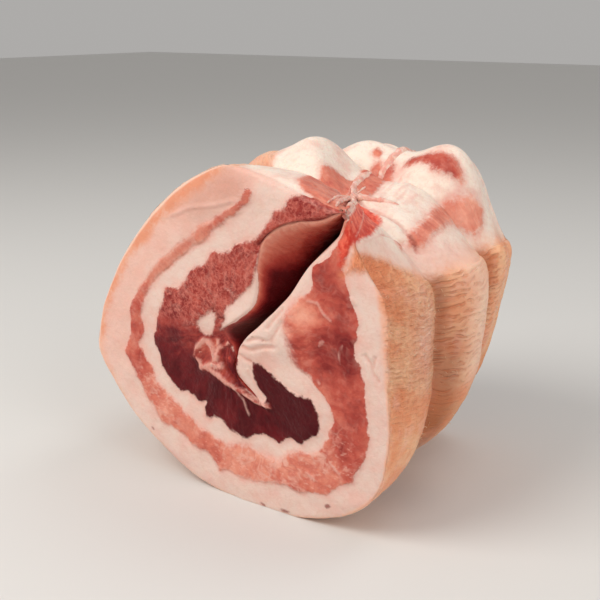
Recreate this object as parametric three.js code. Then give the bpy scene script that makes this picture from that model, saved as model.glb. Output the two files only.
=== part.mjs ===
// Rolled pork belly joint: one raw, boned slab of belly rolled up with its rind outside, cut across at
// both ends. Two strings have waisted the roll. The slab's two long edges meet in a seam on top, and
// the fold inside gapes at the front cut.
// Millimetres. +Y runs along the roll from the front cut to the back cut, +X is to the right seen from
// the front, +Z is up. The origin is the middle of the base of the bounding box.
import * as THREE from 'three';

// --- driving dimensions ---------------------------------------------------------------------------
const rollLength = 97; // front cut to back cut
const foldCloses = 27; // depth at which the gaping fold is shut
const slitGap = 0.8; // between the two touching sides of the fold
const slitOpens = 0.06; // share of the fold's wall over which the slit widens from its end

// Sides of the slab at the front cut, as [u, x, z]. u runs round the roll from the left edge of the
// slab (0), under the roll (0.5, where the fold ends), to the right edge (1).
const rindSide = [
  [0, 3, 119], [0.05, -9.5, 114], [0.1, -22, 107], [0.14, -33.5, 97.5], [0.175, -42, 88.5],
  [0.21, -49.5, 79], [0.25, -56, 68], [0.285, -60.5, 58.5], [0.32, -63.5, 49], [0.35, -64, 41.5],
  [0.37, -58.5, 33], [0.395, -47.5, 20.5], [0.425, -28, 7.5], [0.442, -14, 1.6], [0.46, 2, -1.2],
  [0.475, 18, -1.5], [0.488, 33, 0.8], [0.503, 49, 7], [0.525, 59.5, 17], [0.56, 63.5, 31],
  [0.6, 63.8, 44], [0.66, 62.8, 54], [0.73, 62, 64], [0.8, 62, 72], [0.86, 61.5, 78], [0.92, 60.5, 82],
  [1, 58.5, 85.5],
];
const middleLine = [
  [0, 25, 113], [0.1, 3, 101.5], [0.175, -15, 86.5], [0.25, -27.5, 69.5], [0.32, -33, 52.5],
  [0.38, -28.5, 38], [0.415, -17, 27], [0.46, 4, 19.5], [0.48, 17, 18.5], [0.5, 30.5, 21.5],
  [0.52, 38, 28.5], [0.54, 41, 36], [0.585, 41.5, 46], [0.66, 40.5, 56], [0.75, 40.5, 65],
  [0.86, 46, 77], [1, 52, 95],
];
// Walls of the fold at the front cut, as [s, x, z], from the end of the fold (0) up to the seam (1).
const leftWall = [
  [0, 15.5, 39], [0.08, 8.3, 43.8], [0.17, 4, 50.5], [0.24, 0.5, 56], [0.3, -2, 61], [0.36, 4.5, 65.5],
  [0.43, 11, 71], [0.5, 13, 78], [0.58, 13, 86], [0.65, 14.8, 93], [0.72, 20.5, 98], [0.8, 28, 101],
  [0.9, 37, 102.3], [1, 47, 107],
];
const rightWall = [
  [0, 15.5, 39], [0.08, 10, 45], [0.17, 6.5, 50], [0.24, 5, 54.5], [0.3, 6.5, 58], [0.43, 14, 65.5],
  [0.58, 24, 75.5], [0.72, 32, 86.5], [0.9, 43.5, 97.5], [1, 48.5, 106],
];

// How the section changes towards the back: the seam wanders left, and the slab's edges open and crown.
const seamWanderX = [[0, 0], [30, -16], [51, -31], [97, -33]]; // [y, shift]
const seamWanderZ = [[0, 0], [51, 0], [72, 5], [97, 4]];
const leftTrim = [[0, 0], [30, 0.04], [51, 0.07], [97, 0.06]]; // [y, share of u the rind draws back]
const rightTrim = [[0, 0], [20, 0.05], [51, 0.07], [72, 0.03], [97, 0.02]];
const leftCrown = [[0, 0], [30, 6], [51, 9.5], [72, 5], [97, 4]]; // [y, height of the edge's crown]
const rightCrown = [[0, 0], [30, 3], [51, 5.5], [72, 9], [87, 13], [97, 11]];
const crownReach = 0.07; // share of u over which a crown fades
const driftFoot = 45; // height below which the fold stays put
const seamHeight = 106;

// Strings and bulges, as changes of radius about the roll's axis.
const axisX = 4;
const axisZ = 58;
const coreRadius = 45; // inside this radius the change of shape fades towards the axis
const strings = [
  { y: 33, depth: 5.6, width: 5.5, dip: 8, dipX: 12, dipSpread: 17, dipWidth: 8 },
  { y: 71, depth: 6.8, width: 5.5, dip: 3, dipX: 16, dipSpread: 20, dipWidth: 6 },
];
const creaseRound = 1; // rounding in the bottom of a string crease
const bellies = [ // along the roll, and by angle about the axis in degrees
  { y: 51, reach: 28, angle: 12, spread: 38, height: 7 },
  { y: 51, reach: 28, angle: -42, spread: 22, height: -6 },
  { y: 50, reach: 22, angle: 112, spread: 24, height: 5.5 },
  { y: 51, reach: 28, angle: 180, spread: 50, height: 3 },
  { y: 53, reach: 20, angle: -95, spread: 28, height: 1 },
  { y: 88, reach: 14, angle: -98, spread: 30, height: 4 },
  { y: 90, reach: 24, angle: -38, spread: 38, height: -14 },
  { y: 90, reach: 20, angle: 60, spread: 24, height: 8 },
];
const dipFoot = 85; // the strings cut deepest into the soft edges above this height
const dipTop = 105;
const rimRound = 0.6; // how far the cut ends' rims are drawn in
const rimReach = 3; // over this length of the roll
const backTaper = 3; // further drawing in of the back end
const backTaperReach = 14;

// Low swells of the muscles and the fat on the two cuts, as [x, z, reach, height out of the cut].
const frontSwells = [
  [10, 60, 9, 2.6], [28, 66, 9, 2.2], [34, 40, 12, 1], [-16, 62, 14, 1.4], [22, 34, 12, -1.4],
  [-20, 42, 12, -1.2], [-4, 55, 7, -1.8], [-44, 66, 12, 0.6],
];
const backSwells = [[-20, 55, 22, 2], [34, 62, 20, 2.4], [8, 22, 18, 1.4]];
const swellDepth = 9; // how far into the roll a swell still shifts the flesh

// --- mesh density ---------------------------------------------------------------------------------
const columnSpacing = 7; // along the rind, with turnLength spread evenly over u
const turnLength = 120; // this gives the walls of the fold their share of the columns
const measureSteps = 4000; // for measuring along the rind
const stations = [0, 2, 5, 10, 15, 20, 25, 29, 31.5, 33, 34.5, 37, 41, 46, 51, 56, 61, 65, 69, 71, 73, 77,
  82, 87, 91.5, 95, 97];
const thicknessCells = 6;

// --- helpers --------------------------------------------------------------------------------------
const smooth = (t) => {
  const c = THREE.MathUtils.clamp(t, 0, 1);
  return c * c * (3 - 2 * c);
};

// Smooth curve through rows of [parameter, value, value, ...].
function follow(rows, t) {
  const last = rows.length - 1;
  let i = 0;
  while (i < last - 1 && t > rows[i + 1][0]) i += 1;
  const span = rows[i + 1][0] - rows[i][0];
  const f = (t - rows[i][0]) / span;
  const slope = (k, n) => {
    const a = rows[Math.max(k - 1, 0)];
    const b = rows[Math.min(k + 1, last)];
    return ((b[n] - a[n]) / (b[0] - a[0])) * span;
  };
  const h = [
    2 * f ** 3 - 3 * f ** 2 + 1,
    f ** 3 - 2 * f ** 2 + f,
    3 * f ** 2 - 2 * f ** 3,
    f ** 3 - f ** 2,
  ];
  return rows[i].slice(1).map((value, n) => (
    h[0] * value + h[1] * slope(i, n + 1) + h[2] * rows[i + 1][n + 1] + h[3] * slope(i + 1, n + 1)
  ));
}

const gauss = (d) => Math.exp(-d * d);

// --- the slab's section ---------------------------------------------------------------------------
// A wall of the fold at depth y. side is -1 for the left wall, 1 for the right.
function wallPoint(side, s, y) {
  const [rx, rz] = follow(rightWall, s);
  let [x, z] = [rx, rz];
  if (side < 0) {
    const step = 0.02; // of the wall, for its direction
    const [ax, az] = follow(rightWall, Math.max(s - step, 0));
    const [bx, bz] = follow(rightWall, Math.min(s + step, 1));
    const length = Math.hypot(bx - ax, bz - az);
    const gap = slitGap * smooth(s / slitOpens);
    const shut = Math.sin(0.5 * Math.PI * Math.min(y / foldCloses, 1));
    const [lx, lz] = follow(leftWall, s);
    x = THREE.MathUtils.lerp(lx, rx - (gap * (bz - az)) / length, shut);
    z = THREE.MathUtils.lerp(lz, rz + (gap * (bx - ax)) / length, shut);
  }
  const lift = smooth((z - driftFoot) / (seamHeight - driftFoot));
  return [x + follow(seamWanderX, y)[0] * lift, z + follow(seamWanderZ, y)[0] * lift];
}

function innerPoint(u, y) {
  return u < 0.5 ? wallPoint(-1, 1 - 2 * u, y) : wallPoint(1, 2 * u - 1, y);
}

function rindPoint(u, y) {
  const left = follow(leftTrim, y)[0] * Math.max(1 - 2 * u, 0);
  const right = follow(rightTrim, y)[0] * Math.max(2 * u - 1, 0);
  return follow(rindSide, u + left - right);
}

// Point of the section: v is 0 on the inner side of the slab and 1 on the rind.
function sectionPoint(u, v, y) {
  const inner = innerPoint(u, y);
  const rind = rindPoint(u, y);
  const innerFront = innerPoint(u, 0);
  const rindFront = rindPoint(u, 0);
  const crown = follow(leftCrown, y)[0] * Math.exp(-u / crownReach)
    + follow(rightCrown, y)[0] * Math.exp((u - 1) / crownReach);
  const middle = follow(middleLine, u).map((value, n) => (
    value + 0.5 * (inner[n] - innerFront[n] + rind[n] - rindFront[n])
  ));
  const weights = [(1 - v) * (1 - 2 * v), 4 * v * (1 - v), v * (2 * v - 1)];
  const [x, z] = [0, 1].map((n) => (
    weights[0] * inner[n] + weights[1] * middle[n] + weights[2] * rind[n]
  ));
  return [x, z + crown * Math.sin(Math.PI * v) ** 2];
}

// --- the strings' waists, the bulges between them and the drawn-in rims ------------------------------
function shaped(x, y, z) {
  const dx = x - axisX;
  const dz = z - axisZ;
  const radius = Math.hypot(dx, dz);
  const angle = THREE.MathUtils.radToDeg(Math.atan2(dz, dx));
  let change = 0;
  for (const belly of bellies) {
    const turn = THREE.MathUtils.euclideanModulo(angle - belly.angle + 180, 360) - 180;
    change += belly.height * gauss((y - belly.y) / belly.reach) * gauss(turn / belly.spread);
  }
  let drop = 0;
  const soft = smooth((z - dipFoot) / (dipTop - dipFoot));
  for (const { y: at, depth, width, dip, dipX, dipSpread, dipWidth } of strings) {
    const away = Math.hypot(y - at, creaseRound) - creaseRound;
    change -= depth * Math.exp(-away / width);
    drop += dip * soft * gauss((x - dipX) / dipSpread) * Math.exp(-away / dipWidth);
  }
  const end = Math.min(y, rollLength - y);
  change -= rimRound * (1 - smooth(end / rimReach));
  change -= backTaper * (1 - smooth((rollLength - y) / backTaperReach));
  const reach = Math.min(radius / coreRadius, 1);
  const scale = 1 + (change * reach * reach) / Math.max(radius, 1);
  return [axisX + dx * scale, y, axisZ + dz * scale - drop];
}

function swelling(swells, x, z) {
  return swells.reduce((sum, [sx, sz, reach, height]) => (
    sum + height * gauss(Math.hypot(x - sx, z - sz) / reach)
  ), 0);
}

function slabPoint(u, v, y) {
  const [x, z] = sectionPoint(u, v, y);
  const [px, py, pz] = shaped(x, y, z);
  const front = swelling(frontSwells, px, pz) * (1 - smooth(y / swellDepth));
  const back = swelling(backSwells, px, pz) * (1 - smooth((rollLength - y) / swellDepth));
  return [px, py - front + back, Math.max(pz, 0)];
}

// --- mesh of the slab -----------------------------------------------------------------------------
// Columns round the roll, close enough together for the rind side, with one at the end of the fold.
function columns() {
  const steps = measureSteps;
  const half = (from, to) => {
    const travelled = [0];
    for (let i = 1; i <= steps; i += 1) {
      const [ax, az] = follow(rindSide, from + ((to - from) * (i - 1)) / steps);
      const [bx, bz] = follow(rindSide, from + ((to - from) * i) / steps);
      const share = (turnLength * Math.abs(to - from)) / steps;
      travelled.push(travelled[i - 1] + Math.hypot(bx - ax, bz - az) + share);
    }
    const cells = Math.round(travelled[steps] / columnSpacing);
    return Array.from({ length: cells }, (_, k) => {
      const i = travelled.findIndex((d) => d >= (travelled[steps] * k) / cells);
      return from + ((to - from) * i) / steps;
    });
  };
  return [...half(0, 0.5), ...half(0.5, 1), 1];
}

// The six sides of the slab share their border points, so together they close the body.
function slabGeometry() {
  const us = columns();
  const ys = stations;
  const vs = Array.from({ length: thicknessCells + 1 }, (_, k) => k / thicknessCells);
  const positions = [];
  const faces = [];
  const seen = new Map();
  const vertex = (i, j, k) => {
    const key = `${i},${j},${k}`;
    if (!seen.has(key)) {
      seen.set(key, positions.length / 3);
      positions.push(...slabPoint(us[i], vs[j], ys[k]));
    }
    return seen.get(key);
  };
  const quad = (a, b, c, d) => faces.push(a, b, c, a, c, d);
  const [nu, nv, ny] = [us.length - 1, thicknessCells, ys.length - 1];
  for (let i = 0; i < nu; i += 1) {
    for (let k = 0; k < ny; k += 1) { // rind and inner side
      quad(vertex(i, nv, k), vertex(i, nv, k + 1), vertex(i + 1, nv, k + 1), vertex(i + 1, nv, k));
      quad(vertex(i, 0, k), vertex(i + 1, 0, k), vertex(i + 1, 0, k + 1), vertex(i, 0, k + 1));
    }
    for (let j = 0; j < nv; j += 1) { // front and back cuts
      quad(vertex(i, j, 0), vertex(i, j + 1, 0), vertex(i + 1, j + 1, 0), vertex(i + 1, j, 0));
      quad(vertex(i, j, ny), vertex(i + 1, j, ny), vertex(i + 1, j + 1, ny), vertex(i, j + 1, ny));
    }
  }
  for (let j = 0; j < nv; j += 1) {
    for (let k = 0; k < ny; k += 1) { // left and right edges
      quad(vertex(0, j, k), vertex(0, j, k + 1), vertex(0, j + 1, k + 1), vertex(0, j + 1, k));
      quad(vertex(nu, j, k), vertex(nu, j + 1, k), vertex(nu, j + 1, k + 1), vertex(nu, j, k + 1));
    }
  }
  const geometry = new THREE.BufferGeometry();
  geometry.setAttribute('position', new THREE.Float32BufferAttribute(positions, 3));
  geometry.setIndex(faces);
  geometry.computeBoundingBox();
  const centre = geometry.boundingBox.getCenter(new THREE.Vector3());
  geometry.translate(-centre.x, -centre.y, -geometry.boundingBox.min.z);
  geometry.computeVertexNormals();
  return geometry;
}

// --- the joint ------------------------------------------------------------------------------------
const meat = new THREE.MeshStandardMaterial({ color: 0xd9a58c, roughness: 0.45, metalness: 0 });
const roll = new THREE.Mesh(slabGeometry(), meat);
roll.name = 'pork_belly_roll';

const joint = new THREE.Group();
joint.add(roll);

export default joint;
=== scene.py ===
import itertools
import math
from types import SimpleNamespace

import bpy
import numpy as np
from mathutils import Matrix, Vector


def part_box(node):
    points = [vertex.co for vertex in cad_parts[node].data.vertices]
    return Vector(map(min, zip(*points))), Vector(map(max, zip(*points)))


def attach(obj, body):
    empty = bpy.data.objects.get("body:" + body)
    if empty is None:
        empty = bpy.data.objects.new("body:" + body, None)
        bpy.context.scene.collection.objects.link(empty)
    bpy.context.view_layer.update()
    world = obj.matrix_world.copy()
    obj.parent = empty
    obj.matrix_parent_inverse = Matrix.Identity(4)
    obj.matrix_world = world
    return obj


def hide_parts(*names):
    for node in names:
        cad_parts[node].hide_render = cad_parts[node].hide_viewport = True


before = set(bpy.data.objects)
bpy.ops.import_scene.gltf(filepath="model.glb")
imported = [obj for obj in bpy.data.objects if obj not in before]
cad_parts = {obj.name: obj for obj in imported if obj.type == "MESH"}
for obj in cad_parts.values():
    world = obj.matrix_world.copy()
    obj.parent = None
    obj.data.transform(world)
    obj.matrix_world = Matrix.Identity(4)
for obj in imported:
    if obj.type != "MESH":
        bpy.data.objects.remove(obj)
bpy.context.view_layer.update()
nodeLow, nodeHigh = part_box("pork_belly_roll")
print("frame loaded")

view = {
    "place": (0.20763, -0.29391, 0.1638),
    "azimuth": 36.0,  # degrees, 0 looks along +Y
    "elevation": 16.0,
    "lens": 60.0,  # mm, on a 36 mm sensor
}
studio = {
    "floorColor": (0.72, 0.71, 0.69),
    "floorReach": 3.0,
    "skyColor": (1.0, 0.975, 0.95),
    "skyStrength": 0.42,
    # name: (place, target, size, watts, colour)
    "lamps": {
        "key": ((-0.35, -0.55, 0.7), (0.0, 0.0, 0.05), 0.6, 5.4, (1.0, 0.97, 0.93)),
        "fill": ((0.75, -0.2, 0.45), (0.0, 0.0, 0.05), 0.6, 1.9, (1.0, 0.98, 0.96)),
        "top": ((0.2, 0.3, 0.8), (0.0, 0.0, 0.06), 0.4, 1.0, (1.0, 1.0, 1.0)),
    },
}


def addObject(name, data):
    made = bpy.data.objects.new(name, data)
    bpy.context.scene.collection.objects.link(made)
    return made


def addCamera():
    data = bpy.data.cameras.new("camera")
    data.lens = view["lens"]
    data.sensor_width = 36.0
    data.clip_start = 0.01
    camera = addObject("camera", data)
    camera.location = view["place"]
    camera.rotation_euler = (
        math.radians(90 - view["elevation"]), 0, math.radians(view["azimuth"]))
    bpy.context.scene.camera = camera


def addLamps():
    for name, (place, target, size, watts, color) in studio["lamps"].items():
        data = bpy.data.lights.new(name, "AREA")
        data.shape = "DISK"
        data.size = size
        data.energy = watts
        data.color = color
        lamp = addObject(name, data)
        lamp.location = place
        lamp.rotation_euler = (Vector(target) - Vector(place)).to_track_quat("-Z", "Y").to_euler()
    world = bpy.data.worlds.new("sky")
    bpy.context.scene.world = world
    world.use_nodes = True
    sky = world.node_tree.nodes["Background"]
    sky.inputs["Color"].default_value = (*studio["skyColor"], 1)
    sky.inputs["Strength"].default_value = studio["skyStrength"]


def addFloor():
    mesh = bpy.data.meshes.new("floor")
    reach = studio["floorReach"]
    corners = [(-reach, -reach, 0), (reach, -reach, 0), (reach, reach, 0), (-reach, reach, 0)]
    mesh.from_pydata(corners, [], [(0, 1, 2, 3)])
    floor = addObject("floor", mesh)
    material = bpy.data.materials.new("floor")
    material.use_nodes = True
    shader = material.node_tree.nodes["Principled BSDF"]
    shader.inputs["Base Color"].default_value = (*studio["floorColor"], 1)
    shader.inputs["Roughness"].default_value = 0.75
    mesh.materials.append(material)


bpy.context.scene.view_settings.view_transform = "Standard"
addCamera()
addLamps()
addFloor()
print("camera, lamps and floor made")

# Form of the rolled slab in millimetres. u runs round the roll from the slab's left edge (0) under the
# roll to its right edge (1), v from the inner side (0) to the rind (1), y along the roll from the front
# cut to the back cut.
joint = {
    "length": 97.0,
    "foldCloses": 27.0,
    "slitGap": 0.8,
    "slitOpens": 0.06,
    "rindSide": [  # u, x, z at the front cut
        (0, 3, 119), (0.05, -9.5, 114), (0.1, -22, 107), (0.14, -33.5, 97.5), (0.175, -42, 88.5),
        (0.21, -49.5, 79), (0.25, -56, 68), (0.285, -60.5, 58.5), (0.32, -63.5, 49), (0.35, -64, 41.5),
        (0.37, -58.5, 33), (0.395, -47.5, 20.5), (0.425, -28, 7.5), (0.442, -14, 1.6), (0.46, 2, -1.2),
        (0.475, 18, -1.5), (0.488, 33, 0.8), (0.503, 49, 7), (0.525, 59.5, 17), (0.56, 63.5, 31),
        (0.6, 63.8, 44), (0.66, 62.8, 54), (0.73, 62, 64), (0.8, 62, 72), (0.86, 61.5, 78),
        (0.92, 60.5, 82), (1, 58.5, 85.5)],
    "middleLine": [
        (0, 25, 113), (0.1, 3, 101.5), (0.175, -15, 86.5), (0.25, -27.5, 69.5), (0.32, -33, 52.5),
        (0.38, -28.5, 38), (0.415, -17, 27), (0.46, 4, 19.5), (0.48, 17, 18.5), (0.5, 30.5, 21.5),
        (0.52, 38, 28.5), (0.54, 41, 36), (0.585, 41.5, 46), (0.66, 40.5, 56), (0.75, 40.5, 65),
        (0.86, 46, 77), (1, 52, 95)],
    "leftWall": [  # share of the wall from the fold's end, x, z
        (0, 13, 38.8), (0.08, 5.4, 43.4), (0.17, 2.6, 48.6), (0.24, 3, 54.4), (0.3, -2, 60.5),
        (0.36, 4.5, 65.5), (0.43, 11, 71), (0.5, 13, 78), (0.58, 13, 86), (0.65, 14.8, 93),
        (0.72, 20.5, 98), (0.8, 28, 101), (0.9, 37, 102.3), (1, 47, 107)],
    "rightWall": [
        (0, 13, 38.8), (0.08, 5.8, 43.8), (0.17, 3.2, 48.7), (0.24, 4.2, 54), (0.3, 6.5, 58),
        (0.43, 14, 65.5), (0.58, 24, 75.5), (0.72, 32, 86.5), (0.9, 43.5, 97.5), (1, 48.5, 106)],
    "seamWanderX": [(0, 0), (30, -16), (51, -31), (97, -33)],  # y, shift
    "seamWanderZ": [(0, 0), (51, 0), (72, 5), (97, 4)],
    "leftTrim": [(0, 0), (30, 0.04), (51, 0.07), (97, 0.06)],
    "rightTrim": [(0, 0), (20, 0.05), (51, 0.07), (72, 0.03), (97, 0.02)],
    "leftCrown": [(0, 0), (30, 6), (51, 9.5), (72, 5), (97, 4)],
    "rightCrown": [(0, 0), (30, 3), (51, 5.5), (72, 9), (87, 13), (97, 11)],
    "crownReach": 0.07,
    "driftFoot": 45.0,
    "seamHeight": 106.0,
    "axis": (4.0, 58.0),
    "coreRadius": 45.0,
    # y, depth, width, then dip, its x, its spread and its width along the roll
    "strings": [(33, 5.6, 5.5, 8, 12, 17, 8), (71, 6.8, 5.5, 3, 16, 20, 6)],
    "creaseRound": 1.0,
    # y, reach, angle, spread, height
    "bellies": [
        (51, 28, 12, 38, 7), (51, 28, -42, 22, -6), (50, 22, 112, 24, 5.5), (51, 28, 180, 50, 3),
        (53, 20, -95, 28, 1), (88, 14, -98, 30, 4), (90, 24, -38, 38, -14), (90, 20, 60, 24, 8)],
    "dipFrom": (85.0, 105.0),
    "rimFlare": (0.6, 3.0),
    "backTaper": (3.0, 14.0),
    # x, z, reach, height out of the cut
    "frontSwells": [
        (10, 60, 9, 2.6), (28, 66, 9, 2.2), (34, 40, 12, 1), (-16, 62, 14, 1.4), (22, 34, 12, -1.4),
        (-20, 42, 12, -1.2), (-4, 55, 7, -1.8), (-44, 66, 12, 0.6)],
    "backSwells": [(-20, 55, 22, 2), (34, 62, 20, 2.4), (8, 22, 18, 1.4)],
    "swellDepth": 9.0,
    # mesh
    "columns": 420,
    "layers": 54,
    "spacing": (1.15, 0.8),  # along the rind, on the left half and on the right
    "stationSpacing": 1.38,
    "closerFront": (1.1, 2.5), "closerBack": (1.0, 2), "closerStrings": (0.65, 4),  # by how much, reach
    "innerFine": 31.0,  # the fold's walls are fine down to this depth
}


def smooth(t):
    t = np.clip(t, 0, 1)
    return t * t * (3 - 2 * t)


def rise(value, start, end):  # 0 before the start, 1 beyond the end
    return smooth((value - start) / (end - start))


def bell(d):
    return np.exp(-d * d)


def near(value, middle, reach):
    return bell((value - middle) / reach)


def follow(rows, t):  # smooth curve through rows of (parameter, value, ...)
    rows = np.asarray(rows, float)
    t = np.asarray(t, float)
    keys = rows[:, 0]
    last = len(keys) - 1
    i = np.clip(np.searchsorted(keys, t) - 1, 0, last - 1)
    before = np.maximum(np.arange(last + 1) - 1, 0)
    after = np.minimum(np.arange(last + 1) + 1, last)
    slopes = (rows[after, 1:] - rows[before, 1:]) / (keys[after] - keys[before])[:, None]
    span = (keys[i + 1] - keys[i])[..., None]
    f = (t - keys[i])[..., None] / span
    start = (2 * f ** 3 - 3 * f ** 2 + 1) * rows[i, 1:] + (f ** 3 - 2 * f ** 2 + f) * slopes[i] * span
    end = (3 * f ** 2 - 2 * f ** 3) * rows[i + 1, 1:] + (f ** 3 - f ** 2) * slopes[i + 1] * span
    return start + end


def along(name, y):
    return follow(joint[name], y)[..., 0]


def wallPoint(left, s, y):
    right = follow(joint["rightWall"], s)
    if not left:
        wall = right
    else:
        step = 0.02
        run = (follow(joint["rightWall"], np.minimum(s + step, 1))
               - follow(joint["rightWall"], np.maximum(s - step, 0)))
        run /= np.linalg.norm(run, axis=-1, keepdims=True)
        gap = (joint["slitGap"] * smooth(s / joint["slitOpens"]))[..., None]
        beside = right + gap * np.stack([-run[..., 1], run[..., 0]], -1)
        shut = np.sin(0.5 * math.pi * np.minimum(y / joint["foldCloses"], 1))[..., None]
        wall = follow(joint["leftWall"], s) * (1 - shut) + beside * shut
    lift = rise(wall[..., 1], joint["driftFoot"], joint["seamHeight"])
    shift = np.stack([along("seamWanderX", y) * lift, along("seamWanderZ", y) * lift], -1)
    return wall + shift


def innerPoint(u, y):
    leftSide = wallPoint(True, np.clip(1 - 2 * u, 0, 1), y)
    rightSide = wallPoint(False, np.clip(2 * u - 1, 0, 1), y)
    return np.where((u < 0.5)[..., None], leftSide, rightSide)


def rindPoint(u, y):
    left = along("leftTrim", y) * np.maximum(1 - 2 * u, 0)
    right = along("rightTrim", y) * np.maximum(2 * u - 1, 0)
    return follow(joint["rindSide"], u + left - right)


def sectionPoint(u, v, y):  # x and z in the roll's section, before strings and bulges
    front = np.zeros_like(y)
    inner, rind = innerPoint(u, y), rindPoint(u, y)
    drift = 0.5 * (inner - innerPoint(u, front) + rind - rindPoint(u, front))
    middle = follow(joint["middleLine"], u) + drift
    v = v[..., None]
    point = (1 - v) * (1 - 2 * v) * inner + 4 * v * (1 - v) * middle + v * (2 * v - 1) * rind
    reach = joint["crownReach"]
    crown = along("leftCrown", y) * np.exp(-u / reach) + along("rightCrown", y) * np.exp((u - 1) / reach)
    point[..., 1] += crown * np.sin(math.pi * v[..., 0]) ** 2
    return point[..., 0], point[..., 1]


def shaped(x, y, z):  # strings' waists, bulges and drawn-in rims
    axisX, axisZ = joint["axis"]
    dx, dz = x - axisX, z - axisZ
    radius = np.hypot(dx, dz)
    angle = np.degrees(np.arctan2(dz, dx))
    change = np.zeros_like(radius)
    drop = np.zeros_like(radius)
    for at, reach, turn, width, height in joint["bellies"]:
        off = (angle - turn + 180) % 360 - 180
        change += height * near(y, at, reach) * bell(off / width)
    soft = rise(z, *joint["dipFrom"])
    for at, depth, width, dip, dipX, dipSpread, dipWidth in joint["strings"]:
        away = np.hypot(y - at, joint["creaseRound"]) - joint["creaseRound"]
        change -= depth * np.exp(-away / width)
        drop += dip * soft * near(x, dipX, dipSpread) * np.exp(-away / dipWidth)
    toEnd = joint["length"] - y
    flare, flareReach = joint["rimFlare"]
    taper, taperReach = joint["backTaper"]
    change += flare * (1 - rise(np.minimum(y, toEnd), 0, flareReach))
    change -= taper * (1 - rise(toEnd, 0, taperReach))
    hold = np.minimum(radius / joint["coreRadius"], 1)
    scale = 1 + change * hold ** 2 / np.maximum(radius, 1)
    return axisX + dx * scale, axisZ + dz * scale - drop


def spread(spots, x, z):
    return sum(amount * bell(np.hypot(x - sx, z - sz) / reach) for sx, sz, reach, amount in spots)


def slabPoint(u, v, y):
    sectionX, sectionZ = sectionPoint(u, v, y)
    x, z = shaped(sectionX, y, sectionZ)
    depth = joint["swellDepth"]
    front = spread(joint["frontSwells"], x, z) * (1 - rise(y, 0, depth))
    back = spread(joint["backSwells"], x, z) * (1 - rise(joint["length"] - y, 0, depth))
    return np.stack([x, y - front + back, z], -1)


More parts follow.
